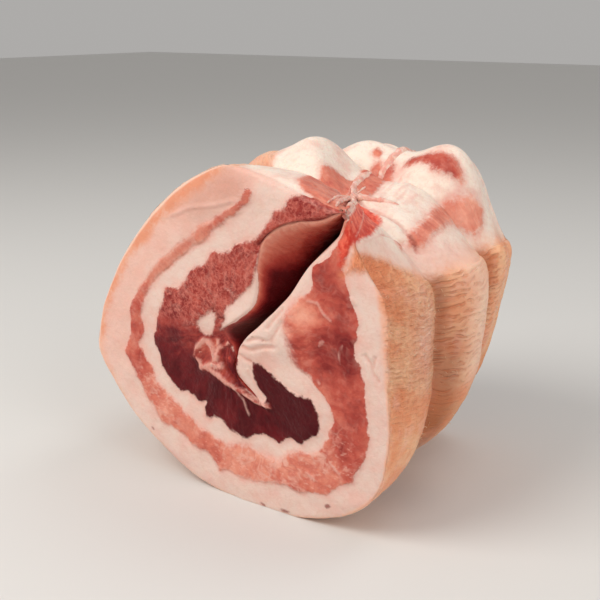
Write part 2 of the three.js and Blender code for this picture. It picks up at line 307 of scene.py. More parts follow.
# Layers and marks of the cut as x, z in mm at the front cut. They run through the roll.
layers = {
    "darkLean": [  # inner muscle; its side towards the fold runs inside the open fold
        (27, 111), (23, 105), (18, 100), (12, 94), (2, 89), (-6, 86), (-10, 82), (-15, 79), (-21, 73),
        (-27, 72), (-28, 68), (-31, 62), (-32, 57), (-34, 51), (-32, 46), (-31, 42), (-27, 39), (-25, 34),
        (-19, 35), (-15, 32), (-11, 32), (-11, 28), (-3, 28), (1, 26), (7, 25), (15, 28), (21, 26),
        (25, 28), (31, 28), (37, 33), (38, 40), (36, 44), (33, 46), (26, 46), (19, 49), (15, 52),
        (10, 53), (5, 51), (2, 56), (3, 62), (9, 66), (17, 74), (22, 83), (26, 92), (36, 99),
        (47, 106.5), (40, 116)],
    "outerLean": [  # thin streak on the left, thick muscle on the right
        (9, 111), (7, 106), (0, 101), (-7, 97), (-17, 90), (-26, 83), (-34, 76), (-41, 67), (-45, 60),
        (-46, 51), (-48, 44), (-46, 39), (-41, 34), (-39, 29), (-35, 26), (-32, 21), (-24, 19), (-17, 16),
        (-9, 14), (-4, 10), (5, 9), (15, 10), (24, 12), (32, 11), (41, 13), (45, 17), (51, 20), (52, 24),
        (55, 29), (56, 35), (56, 42), (55, 48), (54, 54), (52, 59), (50, 63), (51, 68), (51, 74), (48, 83),
        (46, 90), (52, 104), (47, 104), (43, 95), (39, 91), (35, 88), (35, 82), (32, 78), (28, 75),
        (25, 70), (26, 64), (27, 58), (29, 54), (34, 52), (39, 48), (42, 44), (43, 39), (42, 34), (38, 29),
        (35, 25), (30, 25), (25, 23), (21, 19), (15, 20), (9, 22), (0, 20), (-7, 21), (-13, 22), (-17, 26),
        (-21, 26), (-25, 30), (-28, 32), (-33, 36), (-35, 41), (-39, 44), (-41, 48), (-39, 52), (-39, 55),
        (-38, 62), (-36, 68), (-31, 75), (-24, 81), (-17, 86), (-11, 90), (-6, 94), (2, 100), (9, 105),
        (12, 109)],
    "pocket": [  # darkest flesh round the fold's end
        (14, 55), (18, 53), (24, 50), (30, 48), (35, 46), (38, 40), (37, 34), (32, 28), (26, 28), (22, 31),
        (18, 36), (15, 40), (11, 46)],
    # fat on the dark muscle, along the fold and beside it
    "slivers": [
        [(14, 89), (11, 79), (7, 75), (3, 71.5), (0, 69), (-1, 65), (-3, 61), (1, 61), (8, 66), (14, 71),
         (17, 80)],
        [(-7, 67), (-11, 64), (-13, 61), (-10, 58), (-7, 58), (-5, 62), (-5, 66)],
        [(5.4, 53.2), (8.8, 53.2), (11.5, 52.4), (11.2, 49.6), (11.4, 46.6), (13.2, 43.6), (15.8, 40.4),
         (14.8, 37.8), (12.2, 38.8), (8.6, 41), (5.7, 43.8), (3.4, 48.6), (4.6, 51.8)]],
    "foldRed": [
        (-2.1, 52.3), (0.7, 54.2), (3.6, 54.6), (3, 50.5), (2.4, 48), (3, 45.6), (0.8, 47), (-1.1, 49.8)],
    "knot": [
        (-15, 49.4), (-13.4, 52.7), (-11, 55.9), (-8.7, 56.8), (-4.2, 57.4), (-3.2, 52), (0, 47), (4, 43),
        (-1, 42), (-8, 45.5), (-12, 45.5)],
    "shreds": [
        (1.6, [(-15, 49.4), (-13.4, 52.7), (-11, 55.6), (-9.6, 56.6)]),
        (1.5, [(-15, 49.4), (-12.6, 47.6), (-11.9, 45.8)]),
        (1.6, [(-8.7, 56.4), (-7.1, 54), (-6.1, 51), (-5.9, 48.3)]),
        (1.4, [(-4.3, 57.2), (-4.1, 54.6), (-4.9, 51.3), (-5.3, 48.5)]),
        (2.2, [(-11.9, 45.7), (-9, 46.8), (-6.2, 47.8), (-3.3, 47.5)]),
        (2.1, [(-7.9, 45.8), (-4, 44.4), (-0.7, 42.6)]), (1.7, [(-0.7, 42.6), (3.2, 41.4), (7, 41)]),
        (1.2, [(7, 40.6), (12, 38.4), (17, 37.6)]), (1.3, [(-3.7, 53.8), (-0.3, 56.4), (3.2, 58.2)])],
    "freshRed": [
        (49, 96), (47.5, 92), (45.5, 88), (44, 90), (44.5, 94), (43, 96), (45.5, 99), (47, 103), (49, 108),
        (54, 104), (53, 98)],
    "skinCorner": [  # the rind comes round on to the cut at the top right
        (45.5, 87), (48, 88), (51, 88.8), (54, 89.2), (57, 87.6), (58.4, 85), (59.6, 81), (61, 77),
        (64, 77), (64, 92), (53, 100), (50, 96), (47.5, 90.5)],
    # lines: width, then points
    "strands": [
        (0.5, [(33, 77), (37, 77), (39, 74), (42, 72)]), (0.4, [(46, 65), (45, 62), (45, 59)]),
        (0.5, [(0, 76), (3, 75), (4, 74)]), (0.4, [(-17, 62), (-13, 61)]),
        (0.6, [(9, 49), (13, 42), (16, 37)]), (0.4, [(3, 41), (7, 38), (8, 35), (9, 33)]),
        (0.9, [(38, 63.5), (39, 65)]), (0.8, [(37, 52), (38, 51)]), (0.6, [(49, 80), (50, 79)]),
        (0.5, [(33, 19), (37, 17)]), (0.6, [(42, 25), (46, 22)]),
        (0.5, [(-24, 97), (-15, 101), (-4, 103), (6, 106)])],
    # creases are sunk into the cut and painted dark as shade
    "creases": [
        (0.7, [(45, 106), (38, 103), (30, 101), (24, 99), (18, 96), (13, 92)]),
        (0.6, [(-6, 68), (-3, 65), (-1, 65)]), (1.2, [(-2.5, 49), (0.5, 46), (3, 43.4)]),
        (0.4, [(54, 63), (56, 61), (57, 58), (59, 56)]), (0.3, [(57, 60), (57.5, 63)]),
        (0.6, [(23.5, 72.8), (19.8, 68.6), (17.9, 65.7)]),
        (0.5, [(23.5, 68.5), (21.6, 65.4), (19.1, 61.3)]),
        (0.7, [(7.1, 57.4), (11.6, 57), (16, 58.7), (20.3, 59.3)]),
        (0.6, [(5.7, 53.6), (8, 53), (10.5, 52.6)]), (0.4, [(10, 60), (14, 61.5), (17, 61)])],
    "spots": [
        (1.5, [(40.8, 8.6), (41.6, 9)]), (1.1, [(13.6, 1.4), (14.8, 1)]), (1.2, [(22, 1.4), (25, 1.5)]),
        (0.8, [(-36.5, 17), (-36, 16.6)]), (0.6, [(-12, 15), (-11.6, 15)]), (0.3, [(16, 61), (16.6, 61.2)]),
        (0.3, [(12, 62), (12.5, 62)])],
}
# The same on the slab's two long edges, where its layers end on top, as y in mm and v.
edges = {
    "width": {"left": 42.0, "right": 32.0},  # mm from the inner side to the rind
    "left": {
        "lean": [
            [(3, 0.4), (9, 0.47), (17, 0.45), (30, 0.43), (41, 0.39), (47, 0.2), (53, -0.02), (40, -0.02),
             (20, 0.01), (4, 0.0), (-2, 0.02), (-2, 0.27), (1.5, 0.3)],
            [(57, -0.02), (62, 0.08), (74, 0.16), (77, 0.1), (74, -0.02)],
            [(77, 0.12), (80, 0.14), (81, 0.26), (78, 0.27)]],
        "freshRed": [[(2, 0.02), (12, 0.04), (24, 0.05), (34, 0.04), (34, -0.05), (2, -0.05)]],
        "skin": [[(-9, 0.985), (110, 0.985), (110, 1.1), (-9, 1.1)]],
        "strands": [
            (0.6, [(2, 0.09), (8, 0.12), (20, 0.08), (34, 0.05)]),
            (0.5, [(20, 0.2), (34, 0.14), (44, 0.02)])],
        "creases": [(0.5, [(6, 0.05), (20, 0.04), (36, 0.02)]), (0.4, [(33, 0.1), (33, 0.35)])],
    },
    "right": {
        "lean": [
            [(47, 0.05), (46, 0.17), (54, 0.2), (73, 0.11), (77, 0.05), (71, -0.02), (52, -0.02)],
            [(76.5, 0.16), (80, 0.17), (81, 0.4), (81.5, 0.5), (81, 0.64), (78.5, 0.64), (77.5, 0.56),
             (76.5, 0.5), (75.7, 0.46), (76.5, 0.4), (77, 0.3)],
            [(37, 0.64), (50, 0.65), (60, 0.64), (73, 0.66), (77, 0.7), (81, 0.72), (84, 0.8), (80, 0.86),
             (75, 0.9), (72, 0.82), (62, 0.76), (47, 0.75), (38, 0.77), (35, 0.72)],
            [(27, 0.6), (31, 0.62), (31, 0.7), (26, 0.7)]],
        "freshRed": [[(-3, 0.02), (22, -0.03), (42, -0.03), (40, 0.1), (38, 0.33), (35, 0.42), (20, 0.4),
                      (13, 0.42), (5, 0.38), (-3, 0.41)]],
        "skin": [[(-3, 0.46), (5, 0.56), (12, 0.7), (19, 0.84), (25, 0.95), (36, 0.985), (110, 0.985),
                  (110, 1.1), (-3, 1.1)]],
        "strands": [
            (0.9, [(43, 0), (43, 0.07), (45, 0.21), (46, 0.33), (47, 0.43)]),
            (0.6, [(49, 0.28), (58, 0.28), (74, 0.21)]),
            (0.5, [(52, 0.36), (60, 0.37), (72, 0.3)]), (0.5, [(50, 0.24), (60, 0.22), (72, 0.15)]),
            (0.7, [(4, 0.42), (14, 0.46), (24, 0.5)]), (0.5, [(24, 0.1), (12, 0.2), (2, 0.3)]),
            (0.7, [(46, 0.4), (56, 0.42), (66, 0.38)]), (0.6, [(50, 0.48), (60, 0.5)])],
        "creases": [
            (1.5, [(42, 0.06), (40.5, 0.2), (39.5, 0.31)]),
            (1.1, [(39.5, 0.31), (39, 0.54), (38, 0.65), (36, 0.77)]),
            (0.4, [(20, 0.47), (28, 0.55), (34, 0.66)])],
    },
}
flesh = {
    "center": (2.0, 62.0),  # the muscles' fibres fan out from here at the front cut
    "fanRadius": 22.0,
    "borderLumps": ((5.0, 1.2), (2.2, 0.6)),  # size and height of the uneven borders between layers, mm
    "rindBand": [(0, 4), (0.04, 7), (0.1, 8), (0.17, 8), (0.24, 7.4), (0.32, 6.4), (0.37, 4.6), (0.5, 2),
                 (0.6, 2.8), (1, 3)],  # u, thickness on the cuts
    "bandGlow": [(0, 0.7), (0.05, 1.05), (0.15, 1.1), (0.22, 1), (0.3, 0.9), (0.36, 0.6), (0.42, 0.2),
                 (0.5, 0.45), (0.6, 0.5), (1, 0.6)],
    # darkness of the lean from 0, salmon, to 1, wine: the thin muscles, the dark one and what adds to it
    "outerTone": 0.4,
    "darkTones": {"all": 0.6, "low": 0.34, "pocket": 0.24, "knot": -0.34},
    "lowRun": (66, 42),  # z
    "upperRun": (56, 66),
    # soft borders and marbling: in the dark muscle, added in its upper part, on the long edges
    "soft": (0.08, 0.12, 0.32),
    "marble": (0.12, 0.25, 0.4),
    "leastVeins": 0.25,
    "edgeTone": {"all": 0.28, "muscle": 0.17, "far": -0.1, "farther": -0.14},
    "edgeMuscle": (78, 4),  # y and reach
    "edgeFar": (0.76, 0.12),  # v and reach
    "edgeFarther": (66, 74),  # y
    "topRun": (62, 78),  # z; towards the top the fold's wall turns pale as its painted shade lifts, and the left layer turns dusky
    "paleRim": (2.0, 6.0),  # depth of the fold's pale rim, where the painted shade on the wall begins, and what is added at the top
    "paleRimRun": (84, 98),
    "foldRedInset": 1.8,
    # x, z, reach, change
    "toneSpots": [
        (31, 72, 6, -0.3), (43, 62, 11, 0.26), (47, 77, 8, 0.1), (38, 86, 6, 0.08), (50, 40, 9, 0.12),
        (36, 22, 12, -0.16), (10, 15, 16, -0.3), (-26, 24, 16, -0.2), (-44, 52, 12, 0.08),
        (-22, 86, 24, -0.14)],
    "softSpots": [
        (27, 68, 8, 1.3), (29, 59, 6, 0.9), (-36, 28, 14, 0.45), (4, 14, 24, 0.5), (26, 21, 12, 0.5),
        (-22, 86, 24, 0.7)],
    "veinSpots": [
        (-34, 30, 14, 1.1), (8, 16, 26, 1.2), (30, 19, 12, 1.3), (46, 27, 10, 1.1), (-38, 62, 18, 0.5),
        (-20, 86, 18, 0.6)],
    "shadeSpots": [(1, 108, 9, 0.5), (-12, 103, 8, 0.4)],
    "roseSpots": [(-27, 7, 8, 0.7), (-12, 1, 5, 0.5)],
    "film": (63, 4.5, 4, 14),  # z and reach, x and reach
}


def segmentDistance(a, b, x, z):
    runX, runZ = b[0] - a[0], b[1] - a[1]
    t = np.clip(((x - a[0]) * runX + (z - a[1]) * runZ) / (runX * runX + runZ * runZ), 0, 1)
    return np.hypot(x - a[0] - t * runX, z - a[1] - t * runZ)


def signedDistance(outline, x, z):  # mm, positive inside
    nearest = np.full(x.shape, 1e9)
    within = np.zeros(x.shape, bool)
    for a, b in zip(outline, outline[1:] + outline[:1]):
        nearest = np.minimum(nearest, segmentDistance(a, b, x, z))
        if a[1] != b[1]:
            crosses = (a[1] > z) != (b[1] > z)
            within ^= crosses & (x < a[0] + (z - a[1]) * (b[0] - a[0]) / (b[1] - a[1]))
    return np.where(within, nearest, -nearest)


def lineDistance(lines, x, z):  # mm, positive on a line
    nearest = np.full(x.shape, -9.0)
    for width, points in lines:
        for a, b in zip(points, points[1:]):
            nearest = np.maximum(nearest, 0.5 * width - segmentDistance(a, b, x, z))
    return nearest


def lumps(points, size, seed=0):  # soft random field from -1 to 1, size in mm
    cell = points / np.asarray(size, float)
    base = np.floor(cell).astype(np.int64)
    f = cell - base
    f = f * f * (3 - 2 * f)
    total = np.zeros(len(points))
    for corner in itertools.product((0, 1), repeat=3):
        k = base + corner
        h = (k[:, 0] * 374761393 + k[:, 1] * 668265263 + k[:, 2] * 1274126177 + seed * 144665) & 0xFFFFFFFF
        h = ((h ^ (h >> 13)) * 1274126177) & 0xFFFFFFFF
        h = ((h ^ (h >> 15)) * 2246822519) & 0xFFFFFFFF
        h = (h ^ (h >> 14)) & 0xFFFF
        weight = np.prod(np.where(corner, f, 1 - f), axis=1)
        total += weight * (h / 32767.5 - 1)
    return total


def evenSteps(density, samples, cells):  # parameter values with even steps of the density's integral
    travelled = np.concatenate([[0], np.cumsum(0.5 * (density[1:] + density[:-1]) * np.diff(samples))])
    return np.interp(np.linspace(0, travelled[-1], cells + 1), travelled, samples)


def columnPlaces():
    u = np.linspace(0, 1, 4001)
    front = np.zeros_like(u)
    speeds = []
    for line in (rindPoint(u, front), follow(joint["middleLine"], u), innerPoint(u, front)):
        speeds.append(np.linalg.norm(np.gradient(line, u, axis=0), axis=1))
    left, right = joint["spacing"]
    spacing = left + (right - left) * rise(u, 0.46, 0.56)
    density = np.maximum.reduce(speeds) / spacing
    half = joint["columns"] // 2
    leftHalf, rightHalf = u <= 0.5, u >= 0.5  # a column lies at the fold's end
    places = evenSteps(density[leftHalf], u[leftHalf], half)
    return np.concatenate([places, evenSteps(density[rightHalf], u[rightHalf], half)[1:]])


def layerPlaces():
    t = np.linspace(0, 1, joint["layers"] + 1)
    return t - 0.45 * np.sin(2 * math.pi * t) / (2 * math.pi)


def stationPlaces():
    length = joint["length"]
    y = np.linspace(0, length, 2001)
    spacing = np.full_like(y, joint["stationSpacing"])
    for name, away in (("closerFront", y), ("closerBack", length - y)):
        amount, reach = joint[name]
        spacing -= amount * np.exp(-away / reach)
    amount, reach = joint["closerStrings"]
    for place, *_ in joint["strings"]:
        spacing -= amount * near(y, place, reach)
    cells = int(round(float(np.sum(1 / spacing) * (y[1] - y[0]))))
    return evenSteps(1 / spacing, y, cells)


def zipRows(a, b, ta, tb):  # triangles between two rows of vertices that share their ends' places
    i = k = 0
    triangles = []
    while i < len(a) - 1 or k < len(b) - 1:
        if k == len(b) - 1 or (i < len(a) - 1 and ta[i + 1] <= tb[k + 1] + 1e-12):
            triangles.append((a[i], b[k], a[i + 1]))
            i += 1
        else:
            triangles.append((a[i], b[k], b[k + 1]))
            k += 1
    return triangles


def slabMesh():
    us, vs, ys = columnPlaces(), layerPlaces(), stationPlaces()
    nu, nv, ny = len(us) - 1, len(vs) - 1, len(ys) - 1
    every = {step: np.arange(0, nu + 1, step) for step in (1, 2, 4)}
    deep = int(np.searchsorted(ys, joint["innerFine"]))
    allLayers = np.arange(nv + 1)
    stations = range(ny + 1)
    inner = [every[1] if k <= deep else every[4] for k in stations]
    backRows = [every[4]] + [every[2]] * (nv - 1) + [every[1]]
    # each sheet: rows of ((column, layer, station), parameter), and whether its faces are turned
    sheets = [
        ([((every[1], nv, k), us) for k in stations], False),  # rind
        ([((i, 0, k), us[i]) for k, i in enumerate(inner)], True),  # the fold's walls
        ([((every[1], j, 0), us) for j in allLayers], False),  # front cut
        ([((i, j, ny), us[i]) for j, i in enumerate(backRows)], True),  # back cut
        ([((0, allLayers, k), vs) for k in stations], False),  # left edge
        ([((nu, allLayers, k), vs) for k in stations], True),  # right edge
    ]
    ids = np.full((nu + 1, nv + 1, ny + 1), -1)
    for rows, _ in sheets:
        for spots, _ in rows:
            ids[spots] = 0
    used = np.argwhere(ids == 0)
    ids[tuple(used.T)] = np.arange(len(used))
    faces = []
    for rows, turned in sheets:
        for (a, ta), (b, tb) in zip(rows, rows[1:]):
            first, second = ids[a], ids[b]
            if len(first) == len(second):
                quads = np.stack([first[:-1], second[:-1], second[1:], first[1:]], -1)
                new = np.concatenate([quads[:, [0, 1, 2]], quads[:, [0, 2, 3]]]).tolist()
            else:
                new = zipRows(first, second, ta, tb)
            faces += [t[::-1] for t in new] if turned else new
    return {"u": us[used[:, 0]], "v": vs[used[:, 1]], "y": ys[used[:, 2]], "spot": used, "ids": ids}, faces


def edgePaint(side, kind, y, v):
    width = edges["width"][side]
    marks = edges[side][kind]
    if kind in ("strands", "creases"):
        lines = [(thick, [(py, pv * width) for py, pv in points]) for thick, points in marks]
        return lineDistance(lines, y, v * width)
    outlines = [[(py, pv * width) for py, pv in outline] for outline in marks]
    return np.maximum.reduce([signedDistance(outline, y, v * width) for outline in outlines])


def whereabouts(grid):  # of each vertex; x and z are its place in the front cut, lengths are in mm
    u, v, y = grid["u"], grid["v"], grid["y"]
    front = np.zeros_like(y)
    at = SimpleNamespace(u=u, v=v, y=y, front=front)
    at.x, at.z = sectionPoint(u, v, front)
    sectionX, sectionZ = sectionPoint(u, v, y)
    at.up = shaped(sectionX, y, sectionZ)[1]
    at.left, at.right = (u <= 0) & (y > 0), (u >= 1) & (y > 0)  # on the slab's long edges
    at.onEdge = at.left | at.right
    at.onWall = (v <= 0) & (y > 0)
    at.onRind = v >= 1
    at.thickness = np.linalg.norm(rindPoint(u, front) - innerPoint(u, front), axis=1)
    at.toRind = (1 - v) * at.thickness
    at.way = np.interp(u, *rindRun)
    at.toEdge = np.minimum(at.way, rindRun[1][-1] - at.way)
    at.rightSide = rise(u, 0.5, 0.56)
    flat = np.stack([at.x, at.z, front], -1)
    at.wander = sum(height * lumps(flat, size, 3) for size, height in flesh["borderLumps"])
    return at


def inside(at, name):
    return signedDistance(layers[name], at.x, at.z)


def spotted(at, name):
    return spread(flesh[name], at.x, at.z)


def withEdges(at, values, kind, uneven=0.0):  # the long edges have marks of their own
    for side, mask in (("left", at.left), ("right", at.right)):
        values[mask] = edgePaint(side, kind, at.y[mask], at.v[mask]) + uneven * at.wander[mask]
    return values


def paintMeat(at):
    dark = inside(at, "darkLean") + at.wander
    outer = inside(at, "outerLean") + 0.7 * at.wander
    sliver = np.maximum.reduce([signedDistance(outline, at.x, at.z) for outline in layers["slivers"]])
    lean = np.minimum(np.maximum(dark, outer), -sliver - 0.15 * at.wander)
    inward = rise(at.y, 0, 1.5)  # the fold's left wall is all lean
    lean = np.where(at.onWall & (at.u < 0.5), 3.0 * inward + np.minimum(lean, 0) * (1 - inward), lean)
    lean = withEdges(at, lean, "lean", 0.5)
    isDark = dark > outer
    upper = rise(at.z, *flesh["upperRun"]) * isDark

    def layered(darkValue, outerValue, edgeValue):
        return np.where(at.onEdge, edgeValue, np.where(isDark, darkValue, outerValue))

    tones = flesh["darkTones"]
    darkTone = tones["all"] + tones["low"] * rise(at.z, *flesh["lowRun"])
    darkTone += tones["pocket"] * rise(inside(at, "pocket"), -2, 2)
    darkTone += tones["knot"] * rise(inside(at, "knot"), -1.5, 1.5)
    tones = flesh["edgeTone"]
    muscle = near(at.y, *flesh["edgeMuscle"]) * (at.v < 0.63) * (at.u > 0.5)
    edgeTone = tones["all"] + tones["muscle"] * muscle
    farther = tones["farther"] * rise(at.y, *flesh["edgeFarther"])
    edgeTone += (tones["far"] + farther) * near(at.v, *flesh["edgeFar"])
    soft, softUpper, softEdge = flesh["soft"]
    marble, marbleUpper, marbleEdge = flesh["marble"]
    veins = np.maximum(flesh["leastVeins"], spotted(at, "veinSpots"))
    dusk = 0.4 * rise(outer, -1, 0) * rise(at.x, -2, -10) * rise(at.z, *flesh["topRun"])
    return {
        "lean": lean,
        "tone": layered(darkTone, flesh["outerTone"] + spotted(at, "toneSpots"), edgeTone),
        "soft": layered(soft + softUpper * upper, spotted(at, "softSpots"), softEdge),
        "marble": layered(marble + marbleUpper * upper, veins, marbleEdge),
        "grainy": upper * (1 - at.onEdge),
        "shade": np.maximum(spotted(at, "shadeSpots"), dusk) * (1 - rise(at.y, 0, 3)),
    }


def paintMarks(at):
    def onCut(values, beyond=-9.0):
        return np.where(at.y > 0, beyond, values)

    def lines(name):
        return lineDistance(layers[name], at.x, at.z)

    red = np.maximum(inside(at, "freshRed"), inside(at, "foldRed") - flesh["foldRedInset"])
    hide = np.maximum(inside(at, "skinCorner"), np.where(at.u > 0.5, 0.5 - at.toRind, -9.0))
    fromCorner = np.where(at.u > 0.5, edgePaint("right", "skin", at.y, np.ones_like(at.y)), 0.5)
    onRind = np.minimum(at.toEdge + fromCorner, 0.5 + at.y + 9 * (at.u < 0.5))
    return {
        "red": withEdges(at, onCut(red, -30.0), "freshRed"),
        "hide": np.where(at.onRind, np.minimum(onRind, 3), withEdges(at, onCut(hide, -30.0), "skin")),
        "strand": withEdges(at, onCut(lines("strands")), "strands"),
        "crease": withEdges(at, onCut(lines("creases")), "creases"),
        "shred": onCut(lines("shreds") + 0.35 * at.wander),
        "spot": onCut(lines("spots")),
    }


def paintFat(at, hide):
    u, y = at.u, at.y
    band = 1 - at.toRind / follow(flesh["rindBand"], u)[:, 0]
    leftBlush = rise(at.v, 0.5, 0.8) * (1 - rise(u, 0.33, 0.41)) * (1 - at.onEdge * rise(y, 0, 8))
    rightBlush = 0.9 * bell(np.maximum(-hide, 0) / 6) * (y < 60)
    rimDepth, rimMore = flesh["paleRim"]
    rim = rimDepth + rimMore * rise(at.z, *flesh["paleRimRun"])
    height, heightReach, side, sideReach = flesh["film"]
    return {
        "band": np.where(at.onEdge, np.maximum(band, -0.5) * 0.5, band),
        "glow": follow(flesh["bandGlow"], u)[:, 0],
        "leftSide": 1 - at.rightSide,
        "blush": np.where(u >= 1, rightBlush, leftBlush),
        "rose": spotted(at, "roseSpots") * (1 - rise(y, 0, 6)) * rise(at.toRind, 9, 0),
        # the fold's wall gets painted shade that deepens into the fold and is heavier on its lower part
        "wall": at.onWall.astype(float),
        "depth": y / rim + 1.3 * (1 - rise(at.z, *flesh["topRun"])),
        "film": near(at.z, height, heightReach) * near(at.x, side, sideReach),
        "onEdge": at.onEdge * rise(y, 0, 3),
    }


rind = {
    # along the roll: middle and reach in mm
    "valleys": ((38, 9), (74, 9)), "waistLines": ((34, 3.5), (72, 4.5)), "waistShade": (37, 8),
    "crest": (53, 9), "frontRim": (0, 4),
    # mauve: the first bulge's flank, painted pinker and lighter and given glints, partly painted highlight
    "mauve": ((23, 7), (64, 13)), "stain": ((4, 9), (90, 13)),  # and up the roll
    # along the roll: start and end
    "bulgeEnds": (27, 35), "goldStarts": (24, 36),
    # up the roll: start and end
    "wrinkledUp": (30, 55), "shadeFades": (48, 72), "crestUp": (36, 50), "goldFades": (20, 48),
    "baldUpTo": 4.0,
}


def paintRind(at):
    def along(name):
        return near(at.y, *rind[name])

    def up(name):
        return rise(at.up, *rind[name])

    right, high = at.rightSide, up("wrinkledUp")
    firstBulge = 1 - rise(at.y, *rind["bulgeEnds"])
    valley = np.minimum(sum(near(at.y, *place) for place in rind["valleys"]), 1)
    first, second = (near(at.y, *place) for place in rind["waistLines"])
    leftRim = along("frontRim") * (1 - rise(at.u, 0.36, 0.46))
    painted = {
        "pleats": (0.3 + 0.7 * right * high) * np.maximum(0.4 + 0.6 * valley, 0.62 * firstBulge),
        "net": (0.25 + 0.75 * firstBulge * right) * (0.4 + 0.6 * high),
        # painted shade in the valleys where the strings pull the rind in
        "waist": np.maximum(first, along("waistShade") * (1 - 0.7 * up("shadeFades"))) + second,
        # the second bulge's crest, painted pale as a highlight
        "crest": along("crest") * up("crestUp") * right,
        # darker golden brown low on the right side, partly painted shade on the roll's lower side
        "gold": (1 - up("goldFades")) * right * rise(at.y, *rind["goldStarts"]),
        # pale front rim on the left and a paler left side: the rind's paler edge, partly painted highlight
        "paleRim": at.onRind * np.maximum(leftRim, 0.4 * (1 - right)),
        "bristle": at.onRind * (at.up > rind["baldUpTo"]) * (0.35 + 0.65 * right),
    }
    for name in ("mauve", "stain"):
        place, height = rind[name]
        painted[name] = near(at.y, *place) * near(at.up, *height) * right
    return painted


def paintRuns(at):  # coordinates along the muscles' fibres and along the rind
    dx, dz = at.x - flesh["center"][0], at.z - flesh["center"][1]
    turn = np.arctan2(dz, dx)
    fan = flesh["fanRadius"]
    fibre = np.stack([np.hypot(dx, dz), fan * np.cos(turn), fan * np.sin(turn)], -1)
    fibre = np.where(at.onEdge[:, None], np.stack([40 * at.v, at.y, at.front], -1), fibre)
    fibre = np.where(at.onWall[:, None], np.stack([at.y, 180 * at.u, at.front], -1), fibre)
    arc = at.way + at.toRind * (at.u >= 1) - at.toRind * (at.u <= 0)
    return {"fibre": fibre, "skin": np.stack([arc, np.where(at.y > 0, at.y, -at.toRind), at.front], -1)}


def cornerDistances(at):  # to the right angles that get rounded
    def fromEdge(u):
        x, z = sectionPoint(u, at.v, at.front)
        return np.hypot(at.x - x, at.z - z)

    toSide = np.minimum(fromEdge(at.front), fromEdge(np.ones_like(at.u)))
    toSide = np.where(at.onEdge, 0, np.where(at.onRind, at.toEdge, toSide))
    return {
        "corner": np.hypot(toSide, at.toRind), "bend": np.hypot(toSide, at.y),
        "lip": np.hypot(at.v * at.thickness, at.y),
        "rim": np.hypot(at.toRind, at.y), "backRim": np.hypot(at.toRind, joint["length"] - at.y)}


def rindTravel():  # u and the way along the rind from the left edge, mm
    u = np.linspace(0, 1, 2001)
    steps = np.linalg.norm(np.diff(rindPoint(u, np.zeros_like(u)), axis=0), axis=1)
    return u, np.concatenate([[0], np.cumsum(steps)])


def surfaceNormals(points, triangles):
    corner = points[triangles]
    normal = np.cross(corner[:, 1] - corner[:, 0], corner[:, 2] - corner[:, 0])
    normal /= np.maximum(np.linalg.norm(normal, axis=1, keepdims=True), 1e-12)
    total = np.zeros_like(points)
    for c in range(3):
        np.add.at(total, triangles[:, c], normal)
    return total / np.maximum(np.linalg.norm(total, axis=1, keepdims=True), 1e-12)


relief = {
    # height in mm, size of the lumps in mm and their seed
    "bend": (2.0, (14, 16, 9), 11), "pleat": (0.3, (1.6, 13, 9), 12), "dimple": (0.16, (2.4, 3.2, 9), 13),
    "grain": (0.2, (2.2, 1.1, 1.1), 21), "bundle": (0.42, (7, 3.2, 3.2), 22), "fatSwell": (0.32, 6, 23),
    # heights in mm
    "leanStep": 0.35, "creaseDepth": 1.1, "fatCrease": 0.6, "strandHeight": 0.4, "shredHeight": 1.1,
    # reach of the rounded corners: edge and rind, cut and edge, cut and fold, cuts and rind
    "rounded": {"corner": 2.8, "bend": 3.8, "lip": 1.1, "rim": 1.5, "backRim": 1.5},
    "roundedDrop": 0.7,  # share of the reach that leaves a right angle smooth
    "roundedEnd": 20.0,  # mm
    "floorSoftness": 0.25,  # mm
}


def lumpy(name, points):
    height, size, seed = relief[name]
    return height * lumps(points, size, seed)


def surfaceHeight(at, paint, place):
    skin, lean = paint["skin"], rise(paint["lean"], -0.6, 0.6)
    bent = skin + np.stack([lumpy("bend", skin), at.front, at.front], -1)
    skinHeight = lumpy("pleat", bent) * paint["pleats"] + lumpy("dimple", skin)
    meat = lumpy("grain", paint["fibre"]) + lumpy("bundle", paint["fibre"])
    cutHeight = lean * (meat + relief["leanStep"]) + (1 - lean) * lumpy("fatSwell", place)
    sharp = np.maximum(lean, paint["onEdge"])
    depth = relief["fatCrease"] + (relief["creaseDepth"] - relief["fatCrease"]) * sharp
    cutHeight -= depth * rise(paint["crease"], -1.1, 0)
    cutHeight += relief["strandHeight"] * rise(paint["strand"], -0.9, 0)
    cutHeight += relief["shredHeight"] * rise(paint["shred"], -0.9, 0.9)
    calm = 1 - rise(at.y, 20, 30) * (at.v <= 0)  # the shut fold stays smooth
    return np.where(at.onRind, skinHeight, cutHeight * calm)


def cornerShift(grid, at, normal):
    ids = grid["ids"]
    i, j, k = grid["spot"].T
    front = np.zeros_like(k)
    side = np.where(at.u < 0.5, 0, ids.shape[0] - 1)
    outer, back = np.full_like(j, ids.shape[1] - 1), np.full_like(k, ids.shape[2] - 1)
    turnings = {"corner": (side, outer, k), "bend": (side, j, front), "lip": (i, front, front),
                "rim": (i, outer, front), "backRim": (i, outer, back)}
    distances = cornerDistances(at)
    shift = np.zeros_like(normal)
    added, squares = np.zeros_like(at.y), np.zeros_like(at.y)
    for name, spot in turnings.items():
        reach, away = relief["rounded"][name], distances[name]
        fall = relief["roundedDrop"] * reach * np.exp(-away / reach) * (away < relief["roundedEnd"])
        shift -= normal[np.maximum(ids[spot], 0)] * fall[:, None]
        added += fall
        squares += fall ** 2
    return shift * (np.sqrt(squares) / np.maximum(added, 1e-9))[:, None]  # three edges that meet fall less


def carve(place, grid, at, paint, faces):
    normal = surfaceNormals(place, np.array(faces))
    place = place + normal * surfaceHeight(at, paint, place)[:, None] + cornerShift(grid, at, normal)
    place[:, 2] = 0.5 * (place[:, 2] + np.hypot(place[:, 2], relief["floorSoftness"]))
    return place


